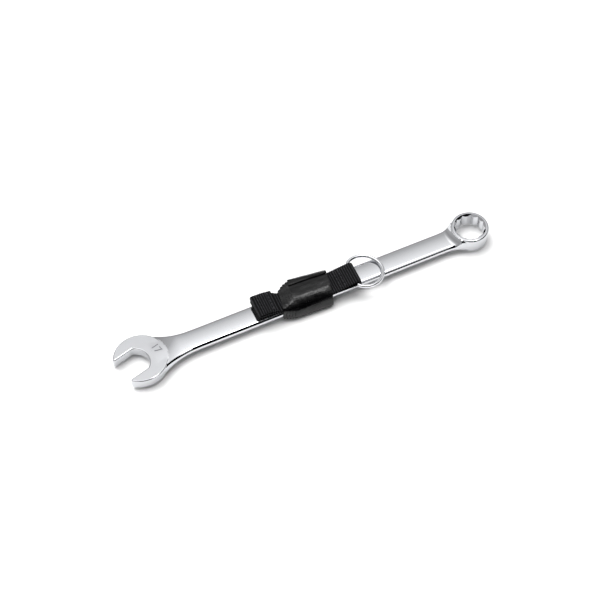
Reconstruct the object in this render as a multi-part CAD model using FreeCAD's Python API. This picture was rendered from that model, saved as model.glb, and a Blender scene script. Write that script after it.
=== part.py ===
import FreeCAD, Part
import math
import os
from FreeCAD import Vector

# A combination spanner that is fitted for work at height. A nylon tail with a D-ring lies along its shank and
# self-fusing tape holds the tail down. Millimetres. While it is built, x = 0 is half way along the spanner,
# y = 0 is its centre line and z = 0 is the middle of the shank's thickness. The finished parts are moved so
# that the origin is at the middle of the footprint, on the surface that the whole thing stands on.

# spanner
OVERALL_LENGTH = 255.6
ACROSS_FLATS = 17.0
FLATS_CLEARANCE = 0.1
SHANK_WIDTH = 14.9
SHANK_THICK = 5.5
SHANK_EDGE_R = 2.2
NECK_OVERLAP = 0.5  # how far the necks run on inside the heads
OPEN_R = 17.0
OPEN_THICK = 7.2
OPEN_EDGE_R = 0.6
OPEN_NECK_R = 30.0
JAW_ANGLE = 15.0
JAW_TIP_R = 0.9
THROAT_DEPTH = 4.6
THROAT_START = 0.4
BOX_R = 12.25
BOX_THICK = 10.4
BOX_RAISE = 1.2
BOX_EDGE_R = 1.7
BOX_NECK_R = 34.0
BOX_COVE_R = 5.0
COVE_INSET = 1.7  # the cove keeps this far inside the neck's outline, clear of its rounded edge
SOCKET_POINTS = 12
SOCKET_LEAD = 0.45  # the lead-in at each face is this much wider than the points
SOCKET_CHAMFER_DEPTH = 1.2

# tail: one strip of webbing, doubled round the D-ring and folded back at its other end
WEB_WIDTH = 16.0
WEB_THICK = 1.5
WEB_SEAT_GAP = 0.2
TETHER_X = 2.4
TETHER_SKEW = -2.0  # the tail lies a little out of line with the shank
LOWER_TAIL = 38.8  # from the middle of the tape to the cut end of the lower layer
FOLD_END = 37.6
BAR_REACH = 29.2  # from the middle of the tape to the D-ring's bar
HINGE_REACH = 15.2  # where the free end of the tail starts to bend
LOOP_CLEARANCE = 0.2
BODY_GAP = 0.3  # between soft pieces on different bodies
STITCH_D = 0.7
STITCH_LENGTH = 2.0
STITCH_COUNT = 5
STITCH_SPACING = 2.8
STOP_ROW_IN = 3.0  # from the stop's cut end to its first row of stitches
FOLD_ROW_IN = 3.75  # from the fold to the stop's other row
LOOP_ROWS = (3.0, 6.0)  # from the tape's edge to each row across the loop

# D-ring
WIRE_D = 2.3
RING_R = 12.05  # of the wire's centre line
RING_CORNER_R = 2.0
RING_SIDE_GAP = 0.3

# tape
TAPE_WIDTH = 25.4
TAPE_THICK = 0.52
TAPE_TURNS = 5
TAPE_STEP = 2.4  # each inner turn shows this much further out
TAPE_SKEW = 8.3
TAPE_CLEARANCE = 0.2
TAPE_EDGE_CLEARANCE = 0.1  # least room beside the tail's lower edges, where the sides lean in
TAPE_SLACK = 0.2  # the turns stand this far off the shank's near side, where they bridge to the tail
TAPE_CORNER_R = 1.2
TAPE_INSIDE_R = 0.3
TAPE_NEAR_TOP_R = 3.0
FLAP_START = 6.0  # the last turn's cut end, this far from the tail's centre line

UP = Vector(0, 0, 1)
SHANK_TOP = SHANK_THICK / 2
WIRE_R = WIRE_D / 2
HALF_FLATS = (ACROSS_FLATS + FLATS_CLEARANCE) / 2

# along the spanner
JAW_TIP_ANGLE = math.asin((HALF_FLATS + JAW_TIP_R) / (OPEN_R - JAW_TIP_R))
OPEN_REACH = (OPEN_R - JAW_TIP_R) * math.cos(JAW_TIP_ANGLE - math.radians(JAW_ANGLE)) + JAW_TIP_R
OPEN_X = OPEN_REACH - OVERALL_LENGTH / 2
BOX_X = OVERALL_LENGTH / 2 - BOX_R

# up the tail
WEB_LOW = SHANK_TOP + WEB_SEAT_GAP
WEB_TOP = WEB_LOW + 2 * WEB_THICK
FOLD_TOP = WEB_TOP + WEB_THICK
HOLE_R = WIRE_R + LOOP_CLEARANCE
LOOP_R = HOLE_R + WEB_THICK
BAR_Z = WEB_LOW + LOOP_R

# the D-ring's shape, from its bar
BAR_HALF = WEB_WIDTH / 2 + RING_SIDE_GAP
RING_CENTRE = RING_CORNER_R + math.sqrt((RING_R - RING_CORNER_R) ** 2 - BAR_HALF ** 2)
APEX_Z = SHANK_TOP + WIRE_R + BODY_GAP
RING_DROOP = math.degrees(math.asin((BAR_Z - APEX_Z) / (RING_CENTRE + RING_R)))

# along the tape
TAPE_END = TAPE_WIDTH / 2 / math.cos(math.radians(TAPE_SKEW))
TAPE_LEAN = math.tan(math.radians(TAPE_SKEW))
INNER_REACH = TAPE_END + (TAPE_TURNS - 1) * TAPE_STEP
FOLD_BACK_END = INNER_REACH + TAPE_LEAN * WEB_WIDTH / 2 + BODY_GAP


def arc(start, middle, end):
    return Part.Arc(start, middle, end).toShape()


def line(start, end):
    return Part.makeLine(start, end)


def on_circle(centre, radius, angle):
    return centre + Vector(math.cos(angle), math.sin(angle), 0) * radius


def prism(edges, z_low, height):
    """A flat outline in the XY plane, pulled up from z_low by height."""
    face = Part.Face(Part.Wire(edges))
    solid = face.extrude(Vector(0, 0, height))
    solid.translate(Vector(0, 0, z_low))
    return solid


def flat_arcs(shape, radii):
    """The level edges of a shape that are arcs of one of these radii."""
    found = []
    for edge in shape.Edges:
        radius = getattr(edge.Curve, "Radius", 0)
        level = edge.BoundBox.ZLength < 0.01
        if level and any(abs(radius - r) < 0.01 for r in radii):
            found.append(edge)
    return found


def neck(head_x, head_r, fillet_r, side):
    """The end of the shank's upper edge and the arc that flares from it into a head. side is 1 where the
    head lies towards +x. Returns the shank edge's end, the arc's middle and its end on the head's circle."""
    half = SHANK_WIDTH / 2
    inner_r = head_r - NECK_OVERLAP
    along = math.sqrt((inner_r + fillet_r) ** 2 - (half + fillet_r) ** 2)
    centre = Vector(head_x - side * along, half + fillet_r, 0)
    head = Vector(head_x, 0, 0)
    start = centre - Vector(0, fillet_r, 0)
    end = head + (centre - head).normalize() * inner_r
    middle = centre + ((start - centre) + (end - centre)).normalize() * fillet_r
    return start, middle, end


def mirrored(points):
    return [Vector(p.x, -p.y, p.z) for p in points]


def shank():
    """The shank with its two necks, which end at the middle of each head."""
    open_neck = neck(OPEN_X, OPEN_R, OPEN_NECK_R, -1)
    box_neck = neck(BOX_X, BOX_R, BOX_NECK_R, 1)
    edges = []
    for a, b in ((open_neck, box_neck), (mirrored(open_neck), mirrored(box_neck))):
        edges += [arc(a[2], a[1], a[0]), line(a[0], b[0]), arc(b[0], b[1], b[2])]
    open_centre = Vector(OPEN_X, 0, 0)
    box_centre = Vector(BOX_X, 0, 0)
    for point in (open_neck[2], mirrored(open_neck)[2]):
        edges.append(line(open_centre, point))
    for point in (box_neck[2], mirrored(box_neck)[2]):
        edges.append(line(box_centre, point))
    edges = Part.__sortEdges__(edges)
    body = prism(edges, -SHANK_TOP, SHANK_THICK)
    rounded = []
    for edge in body.Edges:
        box = edge.BoundBox
        flat = box.ZLength < 0.01
        outer = min(abs(v.Y) for v in edge.Vertexes) > SHANK_WIDTH / 4
        if flat and outer:
            rounded.append(edge)
    return body.makeFillet(SHANK_EDGE_R, rounded)


def cove():
    """The hollow that runs up from the shank into the box end's wall, all round its foot."""
    pieces = []
    foot = BOX_R - NECK_OVERLAP
    box_top = BOX_RAISE + BOX_THICK / 2
    box_bottom = BOX_RAISE - BOX_THICK / 2
    for level, direction, room in (
        (SHANK_TOP, 1, box_top - SHANK_TOP - BOX_EDGE_R),
        (-SHANK_TOP, -1, -box_bottom - SHANK_TOP - BOX_EDGE_R),
    ):
        radius = min(BOX_COVE_R, room)
        if radius <= 0:
            continue
        base = level / 2
        corner = Vector(BOX_R, 0, level)
        centre = corner + Vector(radius, 0, direction * radius)
        top = corner + Vector(0, 0, direction * radius)
        out = corner + Vector(radius, 0, 0)
        bend = centre - Vector(radius, 0, direction * radius) / math.sqrt(2)
        edges = [
            line(Vector(foot, 0, base), Vector(foot, 0, top.z)),
            line(Vector(foot, 0, top.z), top),
            arc(top, bend, out),
            line(out, Vector(out.x, 0, base)),
            line(Vector(out.x, 0, base), Vector(foot, 0, base)),
        ]
        ring = Part.Face(Part.Wire(edges)).revolve(Vector(0, 0, 0), UP, 360)
        ring.translate(Vector(BOX_X, 0, 0))
        pieces.append(ring)
    return pieces


def neck_space():
    """The plan of the box end's neck, inside the shank's rounded edge, as a tall prism to trim the cove."""
    start, middle, end = neck(BOX_X, BOX_R, BOX_NECK_R, 1)
    top = [Vector(p.x, p.y - COVE_INSET, 0) for p in (start, middle, end)]
    low = mirrored(top)
    tip = Vector(BOX_X, top[2].y, 0)
    back = Vector(start.x - BOX_COVE_R, top[0].y, 0)
    edges = [
        line(back, top[0]),
        arc(top[0], top[1], top[2]),
        line(top[2], tip),
        line(tip, Vector(tip.x, -tip.y, 0)),
        line(Vector(tip.x, -tip.y, 0), low[2]),
        arc(low[2], low[1], low[0]),
        line(low[0], Vector(back.x, -back.y, 0)),
        line(Vector(back.x, -back.y, 0), back),
    ]
    return prism(edges, -BOX_THICK, 2 * BOX_THICK)


def open_head():
    """The open head's flat plate with its jaw mouth, drawn with the mouth towards -x and then turned."""
    centre = Vector(0, 0, 0)
    tip_r = OPEN_R - JAW_TIP_R
    tip = Vector(-tip_r * math.cos(JAW_TIP_ANGLE), tip_r * math.sin(JAW_TIP_ANGLE), 0)
    on_flat = Vector(tip.x, HALF_FLATS, 0)
    on_rim = tip * (OPEN_R / tip_r)
    nose = tip + (on_flat - tip + on_rim - tip).normalize() * JAW_TIP_R
    corner = Vector(-THROAT_START, HALF_FLATS, 0)
    deepest = Vector(THROAT_DEPTH, 0, 0)
    low = mirrored([on_rim, nose, on_flat, corner])
    edges = [
        arc(on_rim, on_circle(centre, OPEN_R, 0), low[0]),
        arc(low[0], low[1], low[2]),
        line(low[2], low[3]),
        arc(low[3], deepest, corner),
        line(corner, on_flat),
        arc(on_flat, nose, on_rim),
    ]
    head = prism(edges, -OPEN_THICK / 2, OPEN_THICK)
    head = head.makeFillet(OPEN_EDGE_R, flat_arcs(head, (OPEN_R, JAW_TIP_R)))
    mouth = prism(
        [
            line(corner, Vector(-2 * OPEN_R, HALF_FLATS, 0)),
            line(Vector(-2 * OPEN_R, HALF_FLATS, 0), Vector(-2 * OPEN_R, -HALF_FLATS, 0)),
            line(Vector(-2 * OPEN_R, -HALF_FLATS, 0), low[3]),
            arc(low[3], deepest, corner),
        ],
        -OPEN_THICK,
        2 * OPEN_THICK,
    )
    for shape in (head, mouth):
        shape.rotate(centre, UP, JAW_ANGLE)
        shape.translate(Vector(OPEN_X, 0, 0))
    return head, mouth


def box_end():
    """The box end's round wall, rounded at both rims."""
    low = BOX_RAISE - BOX_THICK / 2
    wall = Part.makeCylinder(BOX_R, BOX_THICK, Vector(BOX_X, 0, low))
    return wall.makeFillet(BOX_EDGE_R, flat_arcs(wall, (BOX_R,)))


def socket():
    """The twelve-point socket: two hexagons a twelfth of a turn apart, with a lead-in at each face."""
    centre = Vector(BOX_X, 0, 0)
    outer = HALF_FLATS / math.cos(math.pi / 6)
    inner = HALF_FLATS / math.cos(math.pi / SOCKET_POINTS)
    step = math.pi / SOCKET_POINTS
    corners = []
    for i in range(2 * SOCKET_POINTS):
        corners.append(on_circle(centre, inner if i % 2 else outer, i * step))
    low = BOX_RAISE - BOX_THICK / 2
    star = prism(Part.makePolygon(corners + corners[:1]).Edges, low - 1, BOX_THICK + 2)
    wide = outer + SOCKET_LEAD
    narrow = wide - SOCKET_CHAMFER_DEPTH
    high = low + BOX_THICK - SOCKET_CHAMFER_DEPTH
    upper = Part.makeCone(narrow, wide, SOCKET_CHAMFER_DEPTH, Vector(BOX_X, 0, high))
    lower = Part.makeCone(wide, narrow, SOCKET_CHAMFER_DEPTH, Vector(BOX_X, 0, low))
    return star, upper, lower


def wrench():
    head, mouth = open_head()
    space = neck_space()
    body = shank().cut(mouth)
    for ring in cove():
        body = body.fuse(ring.common(space))
    body = body.fuse(head).fuse(box_end())
    for tool in socket():
        body = body.cut(tool)
    return body.removeSplitter()


def across(edges):
    """A closed outline in the XZ plane, pulled out to the tail's width about y = 0."""
    face = Part.Face(Part.Wire(edges))
    solid = face.extrude(Vector(0, WEB_WIDTH, 0))
    solid.translate(Vector(0, -WEB_WIDTH / 2, 0))
    return solid


def side(x, z):
    return Vector(x, 0, z)


def polygon(points):
    return [line(a, b) for a, b in zip(points, points[1:] + points[:1])]


def web_anchor():
    """The tail's fixed run: the lower layer, the upper layer and its end folded back on top as a stop."""
    end = HINGE_REACH - BODY_GAP
    middle = WEB_LOW + WEB_THICK
    low_end = side(-LOWER_TAIL, WEB_LOW)
    lower_layer = [low_end, side(end, WEB_LOW), side(end, middle), side(-LOWER_TAIL, middle)]
    turn = side(WEB_THICK - FOLD_END, WEB_TOP)
    upper = [
        line(side(end, middle), side(end, WEB_TOP)),
        line(side(end, WEB_TOP), side(-FOLD_BACK_END, WEB_TOP)),
        line(side(-FOLD_BACK_END, WEB_TOP), side(-FOLD_BACK_END, FOLD_TOP)),
        line(side(-FOLD_BACK_END, FOLD_TOP), side(turn.x, FOLD_TOP)),
        arc(side(turn.x, FOLD_TOP), side(-FOLD_END, WEB_TOP), side(turn.x, middle)),
        line(side(turn.x, middle), side(end, middle)),
    ]
    return across(polygon(lower_layer)).fuse(across(upper)).removeSplitter()


def loop_slope():
    """Where the loop's upper layer meets its round end, and the slope of that layer in degrees."""
    start = side(HINGE_REACH, WEB_TOP)
    centre = side(BAR_REACH, BAR_Z)
    gap = centre - start
    angle = math.atan2(gap.z, gap.x) + math.asin(LOOP_R / gap.Length)
    touch = centre + side(-math.sin(angle), math.cos(angle)) * LOOP_R
    return touch, math.degrees(angle)


def web_loop():
    """The tail's free end, which closes round the D-ring's bar."""
    touch = loop_slope()[0]
    start = HINGE_REACH
    edges = [
        line(side(start, WEB_LOW), side(start, WEB_TOP)),
        line(side(start, WEB_TOP), touch),
        arc(touch, side(BAR_REACH + LOOP_R, BAR_Z), side(BAR_REACH, WEB_LOW)),
        line(side(BAR_REACH, WEB_LOW), side(start, WEB_LOW)),
    ]
    body = across(edges)
    hole = Part.makeCylinder(HOLE_R, 2 * WEB_WIDTH, Vector(BAR_REACH, -WEB_WIDTH, BAR_Z), Vector(0, 1, 0))
    return body.cut(hole)


def stitch_row(x, z, slope):
    """A row of stitches across the tail, half of each thread standing out of a face that rises by slope."""
    row = []
    first = -(STITCH_COUNT - 1) / 2 * STITCH_SPACING
    for i in range(STITCH_COUNT):
        y = first + i * STITCH_SPACING - STITCH_LENGTH / 2
        thread = Part.makeCylinder(STITCH_D / 2, STITCH_LENGTH, Vector(0, y, 0), Vector(0, 1, 0))
        above = Part.makeBox(STITCH_D, WEB_WIDTH, STITCH_D, Vector(-STITCH_D / 2, -WEB_WIDTH / 2, 0))
        stitch = thread.common(above)
        stitch.rotate(Vector(0, 0, 0), Vector(0, 1, 0), -slope)
        stitch.translate(side(x, z))
        row.append(stitch)
    return row


def stop_stitching():
    rows = stitch_row(-FOLD_BACK_END - STOP_ROW_IN, FOLD_TOP, 0)
    rows += stitch_row(-FOLD_END + FOLD_ROW_IN, FOLD_TOP, 0)
    return Part.makeCompound(rows)


def loop_stitching():
    slope = loop_slope()[1]
    rows = []
    for distance in LOOP_ROWS:
        x = HINGE_REACH + distance
        z = WEB_TOP + distance * math.tan(math.radians(slope))
        rows += stitch_row(x, z, slope)
    return Part.makeCompound(rows)


def d_ring():
    """A bent wire: a straight bar, two small corners and most of a circle. It droops from its bar until the
    far end is just above the shank."""
    centre = Vector(RING_CENTRE, 0, 0)
    corner = Vector(RING_CORNER_R, BAR_HALF, 0)
    outward = (corner - centre).normalize()
    on_rim = centre + outward * RING_R
    on_bar = Vector(0, BAR_HALF, 0)
    bend = corner + ((on_rim - corner) + (on_bar - corner)).normalize() * RING_CORNER_R
    low = mirrored([on_bar, bend, on_rim])
    path = [
        line(low[0], on_bar),
        arc(on_bar, bend, on_rim),
        arc(on_rim, on_circle(centre, RING_R, 0), low[2]),
        arc(low[2], low[1], low[0]),
    ]
    section = Part.Wire(Part.makeCircle(WIRE_R, low[0], Vector(0, 1, 0)))
    ring = Part.Wire(path).makePipeShell([section], True, True)
    ring.rotate(Vector(0, 0, 0), Vector(0, 1, 0), RING_DROOP)
    ring.translate(side(BAR_REACH, BAR_Z))
    return ring


def rounded_polygon(corners, radii):
    """A convex outline in the YZ plane with each corner replaced by an arc."""
    starts = []
    ends = []
    bends = []
    count = len(corners)
    for i in range(count):
        corner = corners[i]
        before = (corners[i - 1] - corner).normalize()
        after = (corners[(i + 1) % count] - corner).normalize()
        half = before.getAngle(after) / 2
        back = radii[i] / math.tan(half)
        starts.append(corner + before * back)
        ends.append(corner + after * back)
        inward = (before + after).normalize()
        bends.append(corner + inward * (radii[i] / math.sin(half) - radii[i]))
    edges = []
    for i in range(count):
        edges.append(arc(starts[i], bends[i], ends[i]))
        edges.append(line(ends[i], starts[(i + 1) % count]))
    return Part.Wire(edges)


def wrap_outline(grow):
    """The tape's section, grown from what it is wrapped on: the tail's edges above, the shank below. Where
    the tail is much the wider, the sides lean in only as far as its lower edges let them."""
    drift = math.tan(math.radians(abs(TETHER_SKEW))) * INNER_REACH
    shank_half = SHANK_WIDTH / 2 + drift + TAPE_CLEARANCE
    web_half = WEB_WIDTH / 2 + TAPE_CLEARANCE
    top = WEB_TOP + TAPE_CLEARANCE
    bottom = -SHANK_TOP - TAPE_CLEARANCE
    lean_room = (TAPE_CLEARANCE - TAPE_EDGE_CLEARANCE) * (top - bottom) / (top - WEB_LOW)
    far_low = max(shank_half + TAPE_SLACK / 2, web_half - lean_room)
    near_top = web_half + TAPE_SLACK / 2
    near_low = max(shank_half + TAPE_SLACK, near_top - lean_room)
    corners = [
        Vector(0, web_half + grow, top + grow),
        Vector(0, -near_top - grow, top + grow),
        Vector(0, -near_low - grow, bottom - grow),
        Vector(0, far_low + grow, bottom - grow),
    ]
    if grow:
        small = TAPE_CORNER_R + grow
        radii = [small, TAPE_NEAR_TOP_R + grow, small, small]
    else:
        radii = [TAPE_INSIDE_R] * len(corners)
    return rounded_polygon(corners, radii)


def tape_length(left, right, grow):
    """A length of the tape's section from left to right of its middle, with slanted ends."""
    reach = 2 * INNER_REACH
    bar = Part.Face(wrap_outline(grow)).extrude(Vector(2 * reach, 0, 0))
    bar.translate(Vector(-reach, 0, 0))
    width = 4 * WEB_WIDTH
    ends = [Vector(left, 0, 0), Vector(right, 0, 0)]
    lean = TAPE_LEAN * width
    corners = [
        ends[0] + Vector(-lean, -width, 0),
        ends[1] + Vector(-lean, -width, 0),
        ends[1] + Vector(lean, width, 0),
        ends[0] + Vector(lean, width, 0),
    ]
    slab = prism(polygon(corners), -width, 2 * width)
    return bar.common(slab)


def wrap_tape():
    """Turns of one tape, each wound a little short of the one inside it, and the cut end of the last turn."""
    tape = tape_length(-TAPE_END, TAPE_END, TAPE_TURNS * TAPE_THICK)
    for turn in range(1, TAPE_TURNS):
        out = TAPE_END + (TAPE_TURNS - turn) * TAPE_STEP
        tape = tape.fuse(tape_length(-out, TAPE_END - TAPE_STEP, turn * TAPE_THICK))
    flap = tape_length(-TAPE_END, TAPE_END, (TAPE_TURNS + 1) * TAPE_THICK)
    behind = Part.makeBox(
        8 * WEB_WIDTH, 4 * WEB_WIDTH, 4 * WEB_WIDTH, Vector(-4 * WEB_WIDTH, FLAP_START, WEB_LOW)
    )
    tape = tape.fuse(flap.common(behind))
    inside = tape_length(-2 * INNER_REACH, 2 * INNER_REACH, 0)
    return tape.cut(inside).removeSplitter()


def build():
    parts = {"wrench": wrench()}
    tether = {
        "wrap_tape": wrap_tape(),
        "web_anchor": web_anchor(),
        "stop_stitching": stop_stitching(),
        "web_loop": web_loop(),
        "loop_stitching": loop_stitching(),
        "d_ring": d_ring(),
    }
    for name, shape in tether.items():
        shape.rotate(Vector(0, 0, 0), UP, TETHER_SKEW)
        shape.translate(Vector(TETHER_X, 0, 0))
        parts[name] = shape
    low = min(shape.optimalBoundingBox(False, False).ZMin for shape in parts.values())
    for shape in parts.values():
        shape.translate(Vector(0, 0, -low))
    return parts, -low


PARTS, LIFT = build()
os.makedirs("parts", exist_ok=True)
for part_name, part_shape in PARTS.items():
    part_shape.exportStep(os.path.join("parts", part_name + ".step"))
    box = part_shape.BoundBox
    print(part_name, part_shape.isValid(), len(part_shape.Solids), round(part_shape.Volume, 1), box)
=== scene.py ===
import bmesh
import bpy
import math
from mathutils import Matrix, Vector, noise


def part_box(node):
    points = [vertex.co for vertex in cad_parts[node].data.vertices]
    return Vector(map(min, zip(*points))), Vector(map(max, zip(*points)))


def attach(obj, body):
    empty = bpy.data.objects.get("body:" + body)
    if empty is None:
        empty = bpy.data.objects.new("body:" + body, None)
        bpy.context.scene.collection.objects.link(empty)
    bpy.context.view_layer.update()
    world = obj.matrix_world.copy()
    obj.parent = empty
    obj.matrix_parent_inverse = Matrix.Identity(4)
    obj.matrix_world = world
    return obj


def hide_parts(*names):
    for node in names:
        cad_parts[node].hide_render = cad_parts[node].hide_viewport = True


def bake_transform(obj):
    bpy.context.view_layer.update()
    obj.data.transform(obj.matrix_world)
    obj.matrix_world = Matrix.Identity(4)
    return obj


# A chrome combination spanner with a tether: black webbing folded round a D-ring, held down by wound tape.
# Sizes are in millimetres and become metres when a piece is finished. z = 0 is the surface it rests on.
# A pattern's scale is per metre on Object coordinates, and per millimetre on the webbing's own coordinates.
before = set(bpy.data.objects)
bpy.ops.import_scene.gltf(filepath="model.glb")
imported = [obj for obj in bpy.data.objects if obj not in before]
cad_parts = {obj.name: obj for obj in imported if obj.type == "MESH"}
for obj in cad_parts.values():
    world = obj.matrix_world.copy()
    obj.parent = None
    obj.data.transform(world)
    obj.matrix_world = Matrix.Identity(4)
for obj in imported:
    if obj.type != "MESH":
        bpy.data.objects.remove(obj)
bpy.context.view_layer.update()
MM = 0.001


def corners(name):
    """A CAD node's lowest and highest corners in millimetres."""
    low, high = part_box(name)
    return low / MM, high / MM


# spanner
WRENCH_LOW, WRENCH_HIGH = corners("wrench")
CUT_MARGIN = 1.0  # a cutting shape stands out of the face it cuts by this much
SHANK_WIDTH = 14.9
SHANK_THICK = 5.5
SHANK_EDGE_R = 2.4
SHANK_CROWN = 0.5  # the broad faces bulge by this much at their middle
NECK_OVERLAP = 0.05  # how far the necks run on inside the heads
OPEN_R = 17.0
OPEN_THICK = 7.2
OPEN_EDGE_R = 0.8
OPEN_NECK_R = 55.0
JAW_ANGLE = math.radians(15)
JAW_TIP_R = 0.9
HALF_FLATS = 8.55  # half of 17 mm across flats and 0.1 mm of clearance
THROAT_DEPTH = 4.6
THROAT_START = 0.4
BOX_R = 12.25
BOX_THICK = 10.4
BOX_RAISE = 1.2
BOX_EDGE_R = 1.2
BOX_NECK_R = 34.0
COVE = 4.5  # how far the hollow in front of the box end's wall runs out
COVE_DROP = 0.3  # the hollow ends this far under the rim
OPEN_RISE = 1.0  # the neck's faces swell by this much where they meet the open head
OPEN_SWELL = 9.0  # and start to swell this far from it
SOCKET_POINTS = 12
SOCKET_CORNER = 0.25  # bevel along each of the socket's corners
SOCKET_LEAD = 0.45  # the lead-in at each face is this much wider than the points
SOCKET_LEAD_DEPTH = 1.2
SIZE_MARK = "17"
MARK_SIZE = 6.75  # of the type, whose digits are about 5 mm tall
MARK_DEPTH = 0.5
MARK_PLACE = (11.2, 2.3)  # from the middle of the open head
MARK_TURN = math.radians(-75)

BOX_X = WRENCH_HIGH.x - BOX_R
BOX_TOP = WRENCH_HIGH.z
BOX_LOW = BOX_TOP - BOX_THICK
SHANK_Z = BOX_TOP - BOX_THICK / 2 - BOX_RAISE
JAW_TIP_ANGLE = math.asin((HALF_FLATS + JAW_TIP_R) / (OPEN_R - JAW_TIP_R))
OPEN_X = WRENCH_LOW.x + (OPEN_R - JAW_TIP_R) * math.cos(JAW_TIP_ANGLE - JAW_ANGLE) + JAW_TIP_R

# tether, drawn in line with the spanner and then turned and moved to its place
TETHER_X = 2.4
TETHER_SKEW = math.radians(-2)
PLACE_TETHER = Matrix.Translation((TETHER_X, 0, 0)) @ Matrix.Rotation(TETHER_SKEW, 4, "Z")
WEB_WIDTH = 16.0
WEB_THICK = 1.5
WEB_LOW = corners("web_anchor")[0].z
WEB_TOP = WEB_LOW + 2 * WEB_THICK
WEB_LAYER_GAP = 0.06  # between one layer and the next
WEB_STEP = 0.25  # between the sections that the strip is drawn through
LOWER_TAIL = 37.6  # from the middle of the tape to the cut end of the lower layer
FOLD_END = 37.6  # and to the fold
FOLD_BACK_END = 24.0  # and to the cut end of the folded layer
BAR_REACH = 29.2  # and, the other way, to the D-ring's bar
HINGE_REACH = 15.2  # and to where the free end starts to bend
LOOP_CLEARANCE = 0.2
RIB_PITCH = 1.5
RIB_DEPTH = 0.306
RIB_TEETH = 0.22  # how far the ribs stand out at the selvedges
FOLD_PUFF = 0.8  # room inside the fold
FOLD_LIFT = 1.0  # the folded end rises this much off the layer under it
LIFT_START = -22.2  # where along the tail it starts to rise
LIFT_REACH = 9.0  # and it has risen in full this much further on
PINCH = 2.0  # the first turns of the tape pull the tail's far edge in by this much
PINCH_AT = -19.8  # the tightest place along the tail
PINCH_REACH = 4.2
STITCH_R = 0.3
STITCH_LENGTH = 2.0
STITCH_ROUND = 0.2  # bevel at the ends of a stitch
STITCH_COUNT = 5
STITCH_SPACING = 2.8
STOP_ROWS = (-27.0, -33.85)  # along the tail
LOOP_ROWS = ((18.2, 0.5), (21.2, 1.0))  # along the tail, and height above its flat top

# D-ring
WIRE_R = 1.15
RING_R = 12.05
RING_CORNER_R = 2.0
BAR_HALF = 8.3
LOOP_MID_R = WIRE_R + LOOP_CLEARANCE + WEB_THICK / 2
BAR_Z = WEB_LOW + LOOP_MID_R + WEB_THICK / 2
RING_CENTRE = RING_CORNER_R + math.sqrt((RING_R - RING_CORNER_R) ** 2 - BAR_HALF**2)
RING_GAP = 0.3  # between the drooping ring and the shank
RING_LOW = SHANK_Z + SHANK_THICK / 2 + WIRE_R + RING_GAP
RING_DROOP = math.asin((BAR_Z - RING_LOW) / (RING_CENTRE + RING_R))

# tape
TAPE_LOW = corners("wrap_tape")[0]
TAPE_WIDTH = 25.4
TAPE_THICK = 0.52
TAPE_TURNS = 5
TAPE_STEP = 1.85  # each inner turn shows this much further out
TAPE_SKEW = math.radians(8.3)
TAPE_END = TAPE_WIDTH / 2 / math.cos(TAPE_SKEW)
TAPE_REACH = TAPE_END + (TAPE_TURNS - 1) * TAPE_STEP
TAPE_GAP = 0.2  # room between the tape and what it is wound on
TAPE_SLACK = 0.2  # more room beside the shank, where the turns bridge from it to the tail
TAPE_CORNER_R = 1.4
TAPE_CROWN = 2.3  # how much faster than the tape's thickness the near top corner grows round
TAPE_FAR_CROWN = 2.0  # and how much faster the far top corner does at the slack end
TAPE_SLOPE = 0.3  # how much the near top corner sinks for each millimetre of tape
TAPE_BEVEL = 0.1  # the edge of a turn is this much lower than its face
TAPE_BEVEL_RUN = 0.08
TAPE_WALL_RUN = 0.02  # the face of a turn stops this far before the next turn's edge
TAPE_SLEEVE = 0.05  # how thick the whole winding is at its two ends
TAPE_POINTS = 180  # round one ring of it
TAPE_DENTS = 0.18  # the greatest height of its bumps, which are longer along the spanner than round it
TAPE_DENTS_ALONG = 0.12  # in each millimetre
TAPE_DENTS_ROUND = 0.35
FLAP_START = 6.3  # from the tail's centre line to the last turn's cut end
FLAP_DIP = 0.35  # the tape sinks this much beside its cut end
FLAP_DIP_REACH = 7.0


# materials ------------------------------------------------------------------------------------------------
def linear(colour):
    """An sRGB hex colour as linear red, green, blue and alpha."""
    values = [int(colour[i : i + 2], 16) / 255 for i in (1, 3, 5)]
    return [v / 12.92 if v <= 0.04045 else ((v + 0.055) / 1.055) ** 2.4 for v in values] + [1.0]


def add(tree, kind, inputs=None, **settings):
    """Adds a node, sets it up, and gives each input a value or links it to another node's socket."""
    made = tree.nodes.new(kind)
    for name, value in settings.items():
        setattr(made, name, value)
    for name, value in (inputs or {}).items():
        if isinstance(value, bpy.types.NodeSocket):
            tree.links.new(value, made.inputs[name])
        else:
            made.inputs[name].default_value = value
    return made


def new_material(name):
    """A new node material, with its tree and its shader."""
    material = bpy.data.materials.new(name)
    material.use_nodes = True
    tree = material.node_tree
    shader = tree.nodes["Principled BSDF"]
    return material, tree, shader


def ramp(tree, value, low, high, start=0.0, end=1.0):
    """A value from 0 to 1 drawn out to run from low to high between start and end."""
    inputs = {"Value": value, "From Min": start, "From Max": end, "To Min": low, "To Max": high}
    return add(tree, "ShaderNodeMapRange", inputs).outputs["Result"]


def clouds(tree, place, scale, detail):
    """A cloudy pattern of values from 0 to 1."""
    inputs = {"Vector": place, "Scale": scale, "Detail": detail}
    return add(tree, "ShaderNodeTexNoise", inputs).outputs["Fac"]


def relief(tree, height, strength, distance, under=None):
    """The surface's normal, bent by a pattern of heights, on top of another such relief if one is given."""
    inputs = {"Height": height, "Strength": strength, "Distance": distance}
    if under is not None:
        inputs["Normal"] = under
    return add(tree, "ShaderNodeBump", inputs).outputs["Normal"]


def two_tone(tree, share, low, high):
    """A colour on the way from one sRGB hex colour to another."""
    mix = add(tree, "ShaderNodeMix", {"Factor": share}, data_type="RGBA")
    mix.inputs["A"].default_value = linear(low)
    mix.inputs["B"].default_value = linear(high)
    return mix.outputs["Result"]


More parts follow.
